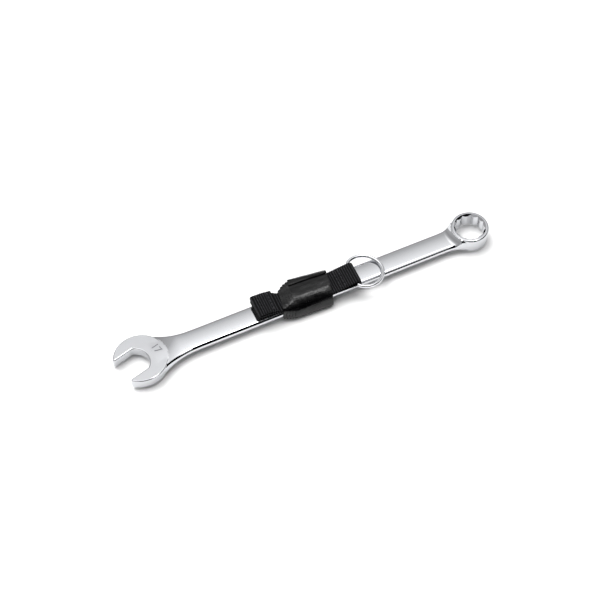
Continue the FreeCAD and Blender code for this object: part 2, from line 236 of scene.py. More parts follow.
def polished_chrome():
    """Chromium plate over buffed steel: a mirror with a faint waviness left by the buffing wheel."""
    material, tree, shader = new_material("polished_chrome_plate")
    place = add(tree, "ShaderNodeTexCoord").outputs["Object"]
    waves = clouds(tree, place, 110.0, 2.0)
    smears = clouds(tree, place, 60.0, 4.0)
    shader.inputs["Base Color"].default_value = linear("#CCCDD0")
    shader.inputs["Metallic"].default_value = 1.0
    tree.links.new(ramp(tree, smears, 0.03, 0.10, 0.35, 0.75), shader.inputs["Roughness"])
    tree.links.new(relief(tree, waves, 0.05, 0.0003), shader.inputs["Normal"])
    return material


def satin_chrome(name, colour):
    """Chromium plate over a blasted face: it glows softly and shows a fine grain of about 0.3 mm."""
    material, tree, shader = new_material(name)
    place = add(tree, "ShaderNodeTexCoord").outputs["Object"]
    grain = clouds(tree, place, 3300.0, 2.0)
    smears = clouds(tree, place, 120.0, 3.0)
    shader.inputs["Base Color"].default_value = linear(colour)
    shader.inputs["Metallic"].default_value = 1.0
    tree.links.new(ramp(tree, smears, 0.30, 0.42, 0.3, 0.7), shader.inputs["Roughness"])
    tree.links.new(relief(tree, grain, 0.18, 0.0001), shader.inputs["Normal"])
    return material


def plated_wire():
    """Nickel-plated steel wire: a bright mirror, faintly uneven from the drawing of the wire."""
    material, tree, shader = new_material("nickel_plated_wire")
    place = add(tree, "ShaderNodeTexCoord").outputs["Object"]
    marks = clouds(tree, place, 700.0, 3.0)
    shader.inputs["Base Color"].default_value = linear("#E4E5E8")
    shader.inputs["Metallic"].default_value = 1.0
    tree.links.new(ramp(tree, marks, 0.02, 0.05, 0.3, 0.7), shader.inputs["Roughness"])
    tree.links.new(relief(tree, marks, 0.03, 0.0001), shader.inputs["Normal"])
    return material


def silicone_tape():
    """Self-fusing silicone tape, stretched as it was wound: glossy black with streaks along the spanner."""
    material, tree, shader = new_material("self_fusing_silicone_tape")
    place = add(tree, "ShaderNodeTexCoord").outputs["Object"]
    stretched = add(tree, "ShaderNodeMapping", {"Vector": place, "Scale": (0.16, 1.0, 1.0)})
    streaks = clouds(tree, stretched.outputs["Vector"], 900.0, 4.0)
    dents = clouds(tree, place, 260.0, 3.0)
    bent = relief(tree, dents, 0.4, 0.0005, under=relief(tree, streaks, 0.35, 0.0002))
    tree.links.new(two_tone(tree, dents, "#020203", "#070708"), shader.inputs["Base Color"])
    shader.inputs["Specular IOR Level"].default_value = 0.34
    tree.links.new(ramp(tree, streaks, 0.14, 0.3, 0.35, 0.7), shader.inputs["Roughness"])
    tree.links.new(bent, shader.inputs["Normal"])
    return material


def nylon_webbing():
    """Black nylon webbing: dull ribs, painted paler on top where they catch light and painted dark in their
    valleys as shade, crossed by yarns 0.9 mm apart.
    """
    material, tree, shader = new_material("black_nylon_webbing")
    uv = add(tree, "ShaderNodeUVMap", uv_map="weave").outputs["UV"]
    lines = {"Vector": uv, "Scale": 0.35}
    warp = add(tree, "ShaderNodeTexWave", lines, bands_direction="Y", wave_type="BANDS")
    parts = add(tree, "ShaderNodeSeparateXYZ", {"Vector": uv})
    turns = {0: parts.outputs["X"], 1: math.tau / RIB_PITCH}
    phase = add(tree, "ShaderNodeMath", turns, operation="MULTIPLY").outputs[0]
    rib = add(tree, "ShaderNodeMath", {0: phase}, operation="COSINE").outputs[0]
    # painted highlight and shade: top is 1 on each rib's crest and 0 in its valleys, and the colour is paler
    # where it is 1
    top = ramp(tree, rib, 0.0, 1.0, 0.2, -1.0)
    fuzz = clouds(tree, uv, 1.6, 4.0)
    yarn = ramp(tree, warp.outputs["Fac"], 0.35, 1.0)
    # cloudy patches and the yarns make the painted highlight on the crests uneven
    sheen_patches = ramp(tree, fuzz, 0.1, 1.6, 0.3, 0.7)
    yarn_sheen = add(tree, "ShaderNodeMath", {0: yarn, 1: sheen_patches}, operation="MULTIPLY")
    painted_crest_sheen = add(tree, "ShaderNodeMath", {0: top, 1: yarn_sheen.outputs[0]}, operation="MULTIPLY").outputs[0]
    height = add(tree, "ShaderNodeMath", {0: yarn, 1: fuzz}, operation="ADD").outputs[0]
    # dark base colour, with a painted highlight on the rib crests and painted shade in the valleys
    tree.links.new(two_tone(tree, painted_crest_sheen, "#020202", "#3C3C40"), shader.inputs["Base Color"])
    shader.inputs["Roughness"].default_value = 0.6
    shader.inputs["Specular IOR Level"].default_value = 0.12
    tree.links.new(relief(tree, height, 0.6, 0.0003), shader.inputs["Normal"])
    return material


def bonded_thread():
    """Bonded polyester thread: black and slightly waxy, with its twist showing as fine slanted lines."""
    material, tree, shader = new_material("bonded_polyester_thread")
    place = add(tree, "ShaderNodeTexCoord").outputs["Object"]
    turned = add(tree, "ShaderNodeMapping", {"Vector": place, "Rotation": (0, 0, math.radians(35))})
    lines = {"Vector": turned.outputs["Vector"], "Scale": 900.0, "Distortion": 0.5}
    twist = add(tree, "ShaderNodeTexWave", lines).outputs["Fac"]
    tree.links.new(two_tone(tree, twist, "#0C0C0E", "#2A2A2E"), shader.inputs["Base Color"])
    shader.inputs["Roughness"].default_value = 0.45
    tree.links.new(relief(tree, twist, 0.6, 0.0002), shader.inputs["Normal"])
    return material


def matt_floor():
    """White sweep paper: matt, with no pattern that the eye can find."""
    material, tree, shader = new_material("white_sweep_paper")
    place = add(tree, "ShaderNodeTexCoord").outputs["Object"]
    fibre = clouds(tree, place, 500.0, 2.0)
    shader.inputs["Base Color"].default_value = linear("#F4F4F4")
    shader.inputs["Roughness"].default_value = 0.9
    shader.inputs["Specular IOR Level"].default_value = 0.1
    tree.links.new(relief(tree, fibre, 0.02, 0.0001), shader.inputs["Normal"])
    return material


# making pieces --------------------------------------------------------------------------------------------
def finish_piece(shape, name, place=None, sharp=None):
    """Turns a bmesh in millimetres into an object in metres. Edges that turn more than sharp stay hard."""
    if place is not None:
        bmesh.ops.transform(shape, matrix=place, verts=shape.verts)
    bmesh.ops.scale(shape, vec=(MM, MM, MM), verts=shape.verts)
    mesh = bpy.data.meshes.new(name)
    shape.to_mesh(mesh)
    shape.free()
    mesh.polygons.foreach_set("use_smooth", [True] * len(mesh.polygons))
    if sharp is not None:
        mesh.set_sharp_from_angle(angle=math.radians(sharp))
    piece = bpy.data.objects.new(name, mesh)
    bpy.context.scene.collection.objects.link(piece)
    return piece


def combine(body, tool, operation):
    """Adds the tool to the body, or cuts it away, and removes the tool."""
    change = body.modifiers.new("change", "BOOLEAN")
    change.operation = operation
    change.solver = "EXACT"
    change.object = tool
    bpy.context.view_layer.update()
    evaluated = body.evaluated_get(bpy.context.evaluated_depsgraph_get())
    mesh = bpy.data.meshes.new_from_object(evaluated)
    body.modifiers.clear()
    body.data = mesh
    bpy.data.objects.remove(tool)


def rows_to_tube(rows, runs=None):
    """A closed tube through rows of points, each row a ring with its first point repeated at its end. runs
    gives each row's distance along the tube, which the points keep."""
    count = len(rows)
    around = len(rows[0])
    shape = bmesh.new()
    bmesh.ops.create_grid(shape, x_segments=count - 1, y_segments=around - 1, size=0.5)
    run = shape.verts.layers.float.new("run") if runs else None
    for vert in shape.verts:
        i = round((vert.co.x + 0.5) * (count - 1))
        if runs:
            vert[run] = runs[i]
        vert.co = rows[i][round((vert.co.y + 0.5) * (around - 1))]
    bmesh.ops.remove_doubles(shape, verts=shape.verts, dist=1e-5)
    bmesh.ops.holes_fill(shape, edges=[e for e in shape.edges if e.is_boundary], sides=0)
    bmesh.ops.recalc_face_normals(shape, faces=shape.faces)
    return shape


def steps(start, end, size):
    """Evenly spaced values from start up to but not including end, about size apart."""
    count = max(1, round(abs(end - start) / size))
    return [start + (end - start) * i / count for i in range(count)]


def arc(centre, radius, start, end, count):
    """Points in a plane along an arc, both ends included."""
    turn = [start + (end - start) * i / count for i in range(count + 1)]
    return [(centre[0] + radius * math.cos(t), centre[1] + radius * math.sin(t)) for t in turn]


# spanner --------------------------------------------------------------------------------------------------
def half_width(x):
    """The shank's half width at x, with the arcs that flare into the heads and the heads' own outlines."""
    half = SHANK_WIDTH / 2
    for head_x, head_r, flare, way in ((OPEN_X, OPEN_R, OPEN_NECK_R, -1), (BOX_X, BOX_R, BOX_NECK_R, 1)):
        foot = head_r - NECK_OVERLAP
        along = math.sqrt((foot + flare) ** 2 - (half + flare) ** 2)
        beyond = way * (x - head_x) + along
        if beyond > along * flare / (foot + flare):
            return math.sqrt(foot**2 - (x - head_x) ** 2)
        if beyond > 0:
            return half + flare - math.sqrt(flare**2 - beyond**2)
    return half


def face_height(x, y, half, way):
    """The height of the shank's upper (way 1) or lower (way -1) face above its middle plane."""
    rim = BOX_TOP - SHANK_Z if way > 0 else SHANK_Z - BOX_LOW
    rise = rim - SHANK_THICK / 2 - COVE_DROP
    crowned = SHANK_THICK / 2 - SHANK_CROWN * (y / half) ** 2
    near_open = 1 - (math.hypot(x - OPEN_X, y) - OPEN_R) / OPEN_SWELL
    crowned += OPEN_RISE * min(max(near_open, 0.0), 1.0) ** 2
    into = COVE - (math.hypot(x - BOX_X, y) - BOX_R)
    if into <= 0:
        return crowned
    share = min(into / COVE, 1) ** 2
    return crowned + (SHANK_THICK / 2 + rise - crowned) * share


def face_run(x, half, way):
    """One face of the section at x from side to side: a rounded edge, the crowned face, a rounded edge."""
    inset = half - SHANK_EDGE_R
    near = 0.05
    fall = face_height(x, inset, half, way) - face_height(x, inset + near, half, way)
    slope = math.atan(fall / near)
    end = inset + SHANK_EDGE_R * math.sin(slope)
    level = face_height(x, end, half, way)
    centre = (inset, level - SHANK_EDGE_R * math.cos(slope))
    edge = arc(centre, SHANK_EDGE_R, 0, math.pi / 2 - slope, 7)
    strips = 36
    middle = [end - 2 * end * i / strips for i in range(1, strips)]
    run = edge + [(y, face_height(x, y, half, way)) for y in middle]
    run += [(-y, z) for y, z in reversed(edge)]
    return [Vector((x, y, SHANK_Z + way * z)) for y, z in run]


def shank_shape():
    """The shank and its two necks, from inside one head to inside the other."""
    stretches = (
        (OPEN_X + 8, OPEN_X + 32, 0.7),  # the open head's neck
        (OPEN_X + 32, BOX_X - 28, 6),  # the last and straightest of that neck, and the shank
        (BOX_X - 28, BOX_X - 21, 0.7),  # the end of the shank
        (BOX_X - 21, BOX_X - 6, 0.25),  # the box end's neck, with the hollow
    )
    along = []
    for start, end, size in stretches:
        along += steps(start, end, size)
    rows = []
    for x in along:
        half = half_width(x)
        ring = face_run(x, half, 1) + list(reversed(face_run(x, half, -1)))
        rows.append(ring + ring[:1])
    return rows_to_tube(rows)


def open_head_shape():
    """The open head's plate with its mouth, made towards -x and then turned to its angle."""
    tip_r = OPEN_R - JAW_TIP_R
    rim_angle = math.pi - JAW_TIP_ANGLE
    tip = (tip_r * math.cos(rim_angle), tip_r * math.sin(rim_angle))
    half = arc((0, 0), OPEN_R, 0, rim_angle, 48)
    half += arc(tip, JAW_TIP_R, rim_angle, 1.5 * math.pi, 8)[1:]
    corner = (-THROAT_START, HALF_FLATS)
    reach = THROAT_DEPTH + THROAT_START
    throat_r = (reach**2 + HALF_FLATS**2) / 2 / reach
    throat_x = THROAT_DEPTH - throat_r
    sweep = math.atan2(corner[1], corner[0] - throat_x)
    half += arc((throat_x, 0), throat_r, sweep, 0, 14)
    outline = half + [(x, -y) for x, y in reversed(half[1:-1])]
    shape = bmesh.new()
    low = SHANK_Z - OPEN_THICK / 2
    face = shape.faces.new([shape.verts.new((x, y, low)) for x, y in outline])
    pulled = bmesh.ops.extrude_face_region(shape, geom=[face])["geom"]
    top = [g for g in pulled if isinstance(g, bmesh.types.BMVert)]
    bmesh.ops.translate(shape, vec=(0, 0, OPEN_THICK), verts=top)
    bmesh.ops.recalc_face_normals(shape, faces=shape.faces)
    rims = [e for e in shape.edges if abs(e.verts[0].co.z - e.verts[1].co.z) < 0.01]
    bmesh.ops.bevel(
        shape, geom=rims, offset=OPEN_EDGE_R, segments=4, profile=0.5, affect="EDGES", material=-1
    )
    turn = Matrix.Translation((OPEN_X, 0, 0)) @ Matrix.Rotation(JAW_ANGLE, 4, "Z")
    bmesh.ops.transform(shape, matrix=turn, verts=shape.verts)
    return shape


def box_end_shape():
    """The box end's wall as a solid of revolution, rounded at both rims."""
    shape = bmesh.new()
    profile = [(0, BOX_LOW)]
    profile += arc((BOX_R - BOX_EDGE_R, BOX_LOW + BOX_EDGE_R), BOX_EDGE_R, -math.pi / 2, 0, 8)
    profile += arc((BOX_R - BOX_EDGE_R, BOX_TOP - BOX_EDGE_R), BOX_EDGE_R, 0, math.pi / 2, 8)
    profile.append((0, BOX_TOP))
    verts = [shape.verts.new((BOX_X + r, 0, z)) for r, z in profile]
    edges = [shape.edges.new(pair) for pair in zip(verts, verts[1:])]
    turned = {"cent": (BOX_X, 0, 0), "axis": (0, 0, 1), "angle": math.tau, "steps": 120}
    bmesh.ops.spin(shape, geom=verts + edges, use_merge=True, **turned)
    bmesh.ops.remove_doubles(shape, verts=shape.verts, dist=1e-4)
    bmesh.ops.recalc_face_normals(shape, faces=shape.faces)
    return shape


def socket_shape():
    """The twelve-point socket: two hexagons a twelfth of a turn apart."""
    outer = HALF_FLATS / math.cos(math.pi / 6)
    inner = HALF_FLATS / math.cos(math.pi / SOCKET_POINTS)
    shape = bmesh.new()
    ring = []
    for i in range(2 * SOCKET_POINTS):
        angle = i * math.pi / SOCKET_POINTS
        reach = inner if i % 2 else outer
        corner = (BOX_X + reach * math.cos(angle), reach * math.sin(angle), BOX_LOW - CUT_MARGIN)
        ring.append(shape.verts.new(corner))
    face = shape.faces.new(ring)
    pulled = bmesh.ops.extrude_face_region(shape, geom=[face])["geom"]
    top = [g for g in pulled if isinstance(g, bmesh.types.BMVert)]
    bmesh.ops.translate(shape, vec=(0, 0, BOX_THICK + 2 * CUT_MARGIN), verts=top)
    bmesh.ops.recalc_face_normals(shape, faces=shape.faces)
    upright = [e for e in shape.edges if abs(e.verts[0].co.z - e.verts[1].co.z) > 1]
    bmesh.ops.bevel(
        shape, geom=upright, offset=SOCKET_CORNER, segments=3, profile=0.5, affect="EDGES", material=-1
    )
    return shape


def lead_in_shape(level, way):
    """The cone that opens the socket at its upper (way 1) or lower (way -1) face."""
    wide = HALF_FLATS / math.cos(math.pi / 6) + SOCKET_LEAD
    shape = bmesh.new()
    height = SOCKET_LEAD_DEPTH + CUT_MARGIN
    radii = [wide - SOCKET_LEAD_DEPTH, wide + CUT_MARGIN][::way]
    place = Matrix.Translation((BOX_X, 0, level + way * (CUT_MARGIN - height / 2)))
    bmesh.ops.create_cone(
        shape, cap_ends=True, segments=120, radius1=radii[0], radius2=radii[1], depth=height, matrix=place
    )
    return shape


def size_mark():
    """The size, stamped across the open head beside its throat."""
    text = bpy.data.curves.new("size_mark", "FONT")
    text.body = SIZE_MARK
    text.size = MARK_SIZE
    text.align_x = "CENTER"
    text.align_y = "CENTER"
    text.extrude = MARK_DEPTH
    text.resolution_u = 3
    holder = bpy.data.objects.new("size_mark", text)
    bpy.context.scene.collection.objects.link(holder)
    bpy.context.view_layer.update()
    evaluated = holder.evaluated_get(bpy.context.evaluated_depsgraph_get())
    mesh = bpy.data.meshes.new_from_object(evaluated)
    bpy.data.objects.remove(holder)
    shape = bmesh.new()
    shape.from_mesh(mesh)
    bmesh.ops.remove_doubles(shape, verts=shape.verts, dist=1e-4)
    bmesh.ops.recalc_face_normals(shape, faces=shape.faces)
    place = Matrix.Translation((OPEN_X + MARK_PLACE[0], MARK_PLACE[1], SHANK_Z + OPEN_THICK / 2))
    return finish_piece(shape, "size_mark", place @ Matrix.Rotation(MARK_TURN, 4, "Z"))


def spanner(polished, satin, stamped):
    """The whole forging: polished, with satin faces on its open head round the floor of a stamped size,
    whose floor has painted shade as a darker satin.
    """
    body = finish_piece(shank_shape(), "spanner")
    combine(body, finish_piece(open_head_shape(), "open_head"), "UNION")
    combine(body, finish_piece(box_end_shape(), "box_end"), "UNION")
    combine(body, finish_piece(socket_shape(), "socket"), "DIFFERENCE")
    combine(body, finish_piece(lead_in_shape(BOX_TOP, 1), "upper_lead"), "DIFFERENCE")
    combine(body, finish_piece(lead_in_shape(BOX_LOW, -1), "lower_lead"), "DIFFERENCE")
    combine(body, size_mark(), "DIFFERENCE")
    mesh = body.data
    mesh.materials.clear()
    mesh.materials.append(polished)
    mesh.materials.append(satin)
    mesh.materials.append(stamped)
    top = SHANK_Z + OPEN_THICK / 2
    boss = Vector((OPEN_X, 0))
    for face in mesh.polygons:
        face.use_smooth = True
        centre = face.center / MM
        level = abs(face.normal.z) > 0.99 and (centre.xy - boss).length < OPEN_R
        # the floor of the stamped size gets material 2, the darker satin that paints shade into the recess
        sunk = level and top - MARK_DEPTH - 0.1 < centre.z < top - 0.1
        face.material_index = 2 if sunk else int(level)
    mesh.set_sharp_from_angle(angle=math.radians(28))
    even = body.modifiers.new("even_normals", "WEIGHTED_NORMAL")
    even.keep_sharp = True
    return body


# tape -----------------------------------------------------------------------------------------------------
def pinch(x):
    """How far the tail's far edge is pulled in at x along the tether."""
    near = max(0.0, 1 - abs(x - PINCH_AT) / PINCH_REACH)
    return PINCH * near * near * (3 - 2 * near)


def wrap_outline(x, grow):
    """The tape's section at x, grown from what it is wound on: the tail above, the shank below. Its far top
    corner is tight at the end with the steps and slack at the other."""
    shank_half = SHANK_WIDTH / 2 + math.tan(abs(TETHER_SKEW)) * TAPE_REACH + TAPE_GAP
    web_half = WEB_WIDTH / 2 + TAPE_GAP
    top = WEB_TOP + TAPE_GAP + grow
    bottom = SHANK_Z - SHANK_THICK / 2 - TAPE_GAP - grow
    slack = min(max(0.5 + x / TAPE_END / 2, 0.0), 1.0) * grow
    radii = [TAPE_CORNER_R + TAPE_FAR_CROWN * slack, TAPE_CORNER_R + (1 + TAPE_CROWN) * grow]
    radii += [TAPE_CORNER_R + grow, TAPE_CORNER_R + grow]
    tuck = pinch(x + math.tan(TAPE_SKEW) * web_half)
    turns = [
        Vector((web_half - tuck + grow, top)),
        Vector((-web_half - TAPE_SLACK / 2 - grow, top - TAPE_SLOPE * grow)),
        Vector((-shank_half - TAPE_SLACK - grow, bottom)),
        Vector((shank_half + TAPE_SLACK / 2 + grow, bottom)),
    ]
    outline = []
    count = 12
    for i, (corner, radius) in enumerate(zip(turns, radii)):
        before = (turns[i - 1] - corner).normalized()
        after = (turns[(i + 1) % 4] - corner).normalized()
        half = before.angle(after) / 2
        centre = corner + (before + after).normalized() * radius / math.sin(half)
        start = corner + before * radius / math.tan(half) - centre
        end = corner + after * radius / math.tan(half) - centre
        for k in range(count + 1):
            outline.append(centre + start.slerp(end, k / count).normalized() * radius)
    return from_cut_end(outline)


def from_cut_end(outline):
    """The same closed outline, started where its upper side crosses the line of the tape's cut end."""
    for i, after in enumerate(outline):
        before = outline[i - 1]
        if before.x >= FLAP_START > after.x and after.y > SHANK_Z:
            share = (before.x - FLAP_START) / (before.x - after.x)
            return [before.lerp(after, share)] + outline[i:] + outline[:i]
    raise ValueError("the tape is narrower than the line of its cut end")


def spread(points, count):
    """A closed outline drawn again with count evenly spaced points, from its first point."""
    loop = points + points[:1]
    lengths = [0.0]
    for a, b in zip(loop, loop[1:]):
        lengths.append(lengths[-1] + (b - a).length)
    out = []
    j = 0
    for i in range(count):
        want = lengths[-1] * i / count
        while lengths[j + 1] < want:
            j += 1
        share = (want - lengths[j]) / max(lengths[j + 1] - lengths[j], 1e-9)
        out.append(loop[j].lerp(loop[j + 1], share))
    return out


def tape_ring(x, grow, flap):
    """One ring of the tape at x. flap is how much more the last turn adds on the far side of its cut end."""
    base = spread(wrap_outline(x, 0), TAPE_POINTS)
    outer = spread(wrap_outline(x, grow), TAPE_POINTS)
    ring = []
    for low, high in zip(base + base[:1], outer + outer[:1]):
        point = high.copy()
        beside = FLAP_START - point.x
        on_top = point.y > WEB_TOP
        # not the first point, so that the ring closes with a step down to it
        if flap and ring and on_top and beside < 0.01:
            point += (high - low).normalized() * flap
        elif flap and on_top:
            point.y -= FLAP_DIP * max(0.0, 1 - beside / FLAP_DIP_REACH) ** 2
        ring.append(Vector((x + math.tan(TAPE_SKEW) * point.x, point.x, point.y)))
    return ring + ring[:1]


def tape():
    """Turns of one tape, each short of the one inside it at the end towards -x, with its cut end on top."""
    stations = [(-TAPE_REACH, TAPE_SLEEVE)]
    for turn in range(1, TAPE_TURNS):
        start = -TAPE_END - (TAPE_TURNS - turn) * TAPE_STEP
        grow = turn * TAPE_THICK
        stations += [(start, grow - TAPE_BEVEL), (start + TAPE_BEVEL_RUN, grow)]
        stations.append((start + TAPE_STEP - TAPE_WALL_RUN, grow))
    full = TAPE_TURNS * TAPE_THICK
    stations += [(-TAPE_END, full - TAPE_BEVEL), (-TAPE_END + TAPE_BEVEL_RUN, full)]
    stations += [(x, full) for x in steps(-TAPE_END + 1, TAPE_END - 1, 1.0)]
    stations += [(TAPE_END - TAPE_BEVEL_RUN, full), (TAPE_END, full - TAPE_BEVEL), (TAPE_END, TAPE_SLEEVE)]
    rows = []
    for x, grow in stations:
        last_turn = grow > full - 2 * TAPE_BEVEL
        rows.append(tape_ring(x, grow, TAPE_THICK if last_turn else 0))
    shape = rows_to_tube(rows)
    for vert in shape.verts:
        x, y, z = vert.co
        place = Vector((x * TAPE_DENTS_ALONG, y * TAPE_DENTS_ROUND, z * TAPE_DENTS_ROUND))
        vert.co += vert.normal * noise.noise(place) * TAPE_DENTS
    return finish_piece(shape, "tape", PLACE_TETHER, sharp=35)


# webbing --------------------------------------------------------------------------------------------------
def fold_rise(x):
    """How much of the fold's lift the webbing has at x, from none at the tape to all at the fold."""
    share = min(max((LIFT_START - x) / LIFT_REACH, 0.0), 1.0)
    return share * share * (3 - 2 * share)


def web_path():
    """The middle line of the strip in the XZ plane: from its lower cut end, round the ring's bar, back over
    itself to the fold and round that to its other cut end."""
    low = WEB_LOW + WEB_THICK / 2
    mid = low + WEB_THICK
    high = mid + WEB_THICK + FOLD_PUFF
    path = [(x, low) for x in steps(-LOWER_TAIL, BAR_REACH, WEB_STEP)]
    centre = Vector((BAR_REACH, BAR_Z))
    start = Vector((HINGE_REACH, mid))
    gap = centre - start
    angle = math.atan2(gap.y, gap.x) + math.asin(LOOP_MID_R / gap.length)
    touch = centre + Vector((-math.sin(angle), math.cos(angle))) * LOOP_MID_R
    path += arc(centre, LOOP_MID_R, -math.pi / 2, angle + math.pi / 2, 24)
    length = (touch - start).length
    path += [tuple(touch.lerp(start, s / length)) for s in steps(WEB_STEP, length, WEB_STEP)]
    fold_x = WEB_THICK - FOLD_END
    raised = FOLD_LIFT * fold_rise(fold_x)
    path += [(x, mid + FOLD_LIFT * fold_rise(x)) for x in steps(HINGE_REACH, fold_x, WEB_STEP)]
    fold = (fold_x, (mid + high) / 2 + raised)
    path += arc(fold, (high - mid) / 2, 1.5 * math.pi, 0.5 * math.pi, 12)
    back = steps(fold_x + WEB_STEP, -FOLD_BACK_END, WEB_STEP) + [-FOLD_BACK_END]
    path += [(x, high + FOLD_LIFT * fold_rise(x)) for x in back]
    return [Vector(p) for p in path]


def strip_section(thick):
    """The strip's section, flat with round selvedges: (across, up), with the first point repeated."""
    half = WEB_WIDTH / 2
    radius = thick / 2
    flat = half - radius
    ys = [flat - 2 * flat * i / 20 for i in range(21)]
    loop = [(y, radius) for y in ys]
    loop += arc((-flat, 0), radius, math.pi / 2, 1.5 * math.pi, 4)[1:-1]
    loop += [(-y, -radius) for y in ys]
    loop += arc((flat, 0), radius, -math.pi / 2, math.pi / 2, 4)[1:-1]
    return loop + loop[:1]


def webbing():
    """One ribbed strip, which bends where the tail leaves the tape."""
    path = web_path()
    rows = []
    runs = []
    run = 0.0
    for i, point in enumerate(path):
        before = path[max(i - 1, 0)]
        after = path[min(i + 1, len(path) - 1)]
        if i:
            run += (point - path[i - 1]).length
        along = (after - before).normalized()
        up = Vector((-along.y, along.x))
        valley = 0.5 + 0.5 * math.cos(math.tau * run / RIB_PITCH)
        thick = WEB_THICK - WEB_LAYER_GAP - 2 * RIB_DEPTH * valley
        tuck = pinch(point.x)
        row = []
        for y, w in strip_section(thick):
            out = abs(y) / WEB_WIDTH * 2  # 0 at the middle of the strip, 1 at a selvedge
            y -= math.copysign(RIB_TEETH * valley * out**8, y)
            y -= tuck * max(y, 0) / WEB_WIDTH * 2
            row.append(Vector((point.x + up.x * w, y, point.y + up.y * w)))
        rows.append(row)
        runs.append(run)
    piece = finish_piece(rows_to_tube(rows, runs), "tail_webbing", PLACE_TETHER, sharp=50)
    layer = piece.data.uv_layers.new(name="weave")
    lengthwise = piece.data.attributes["run"].data
    back = PLACE_TETHER.inverted()
    for loop in piece.data.loops:
        across = (back @ (piece.data.vertices[loop.vertex_index].co / MM)).y
        layer.data[loop.index].uv = (lengthwise[loop.vertex_index].value, across)
    return piece


def stitch(place):
    """One stitch: a short round thread whose ends dive into the webbing."""
    shape = bmesh.new()
    thread = {"radius1": STITCH_R, "radius2": STITCH_R, "depth": STITCH_LENGTH}
    bmesh.ops.create_cone(shape, cap_ends=True, segments=10, matrix=place, **thread)
    ends = [e for e in shape.edges if any(len(f.verts) > 4 for f in e.link_faces)]
    bmesh.ops.bevel(
        shape, geom=ends, offset=STITCH_ROUND, segments=2, profile=0.5, affect="EDGES", material=-1
    )
    return shape


def stitching(name, rows):
    """Rows of stitches across the tail. A row is its place along the tail and its height."""
    whole = bmesh.new()
    for x, z in rows:
        for i in range(STITCH_COUNT):
            y = (i - (STITCH_COUNT - 1) / 2) * STITCH_SPACING
            place = Matrix.Translation((x, y, z)) @ Matrix.Rotation(math.pi / 2, 4, "X")
            single = stitch(place)
            mesh = bpy.data.meshes.new("stitch")
            single.to_mesh(mesh)
            single.free()
            whole.from_mesh(mesh)
            bpy.data.meshes.remove(mesh)
    return finish_piece(whole, name, PLACE_TETHER, sharp=60)


# D-ring ---------------------------------------------------------------------------------------------------
def ring():
    """A bent wire: a straight bar, two small corners and most of a circle, drooping from its bar."""
    shape = bmesh.new()
    start = Matrix.Translation((0, -BAR_HALF, 0)) @ Matrix.Rotation(math.pi / 2, 4, "X")
    made = bmesh.ops.create_circle(shape, cap_ends=False, segments=20, radius=WIRE_R, matrix=start)
    profile = list({e for v in made["verts"] for e in v.link_edges})
    pulled = bmesh.ops.extrude_edge_only(shape, edges=profile)["geom"]
    verts = [g for g in pulled if isinstance(g, bmesh.types.BMVert)]
    bmesh.ops.translate(shape, vec=(0, 2 * BAR_HALF, 0), verts=verts)
    end = pulled
    rim = math.atan2(BAR_HALF, RING_CORNER_R - RING_CENTRE)
    for centre, angle, count in (
        ((RING_CORNER_R, BAR_HALF, 0), math.pi - rim, 8),
        ((RING_CENTRE, 0, 0), 2 * rim, 96),
        ((RING_CORNER_R, -BAR_HALF, 0), math.pi - rim, 8),
    ):
        loop = [g for g in end if isinstance(g, (bmesh.types.BMVert, bmesh.types.BMEdge))]
        spun = bmesh.ops.spin(shape, geom=loop, cent=centre, axis=(0, 0, 1), angle=-angle, steps=count)
        end = spun["geom_last"]
    bmesh.ops.remove_doubles(shape, verts=shape.verts, dist=1e-3)
    bmesh.ops.recalc_face_normals(shape, faces=shape.faces)
    droop = Matrix.Rotation(RING_DROOP, 4, "Y")
    place = PLACE_TETHER @ Matrix.Translation((BAR_REACH, 0, BAR_Z)) @ droop
    return finish_piece(shape, "ring_wire", place)


# stage ----------------------------------------------------------------------------------------------------
def camera():
    """A long lens that looks down on the spanner from its open end's side."""
    data = bpy.data.cameras.new("camera")
    data.lens = 97.3
    data.clip_end = 20
    eye = bpy.data.objects.new("camera", data)
    bpy.context.scene.collection.objects.link(eye)
    azimuth = math.radians(-24.58)
    elevation = math.radians(55.39)
    roll = math.radians(-0.76)
    level = Vector((math.cos(azimuth), math.sin(azimuth), 0))
    away = Vector((math.sin(azimuth), -math.cos(azimuth), 0))
    back = away * math.cos(elevation) + Vector((0, 0, math.sin(elevation)))
    upward = back.cross(level)
    right = level * math.cos(roll) + upward * math.sin(roll)
    up = upward * math.cos(roll) - level * math.sin(roll)
    target = Vector((-5.08, -0.84, 5.55)) * MM
    distance = 1013.7 * MM
    turn = Matrix((right, up, back)).transposed().to_4x4()
    eye.matrix_world = Matrix.Translation(target + back * distance) @ turn
    bpy.context.scene.camera = eye


def floor(material):
    """A wide white floor that the tape rests on."""
    shape = bmesh.new()
    bmesh.ops.create_grid(shape, x_segments=8, y_segments=8, size=3000)  # half of its side
    piece = finish_piece(shape, "floor", Matrix.Translation((0, 0, TAPE_LOW.z)))
    piece.data.materials.append(material)


def bands(tree, value, stops):
    """A grey that follows value through stops, each a place and a brightness."""
    made = add(tree, "ShaderNodeValToRGB", {"Fac": value})
    elements = made.color_ramp.elements
    for i, (at, grey) in enumerate(stops):
        stop = elements[i] if i < 2 else elements.new(at)
        stop.position = at
        stop.color = (grey, grey, grey, 1)
    return made.outputs["Color"]


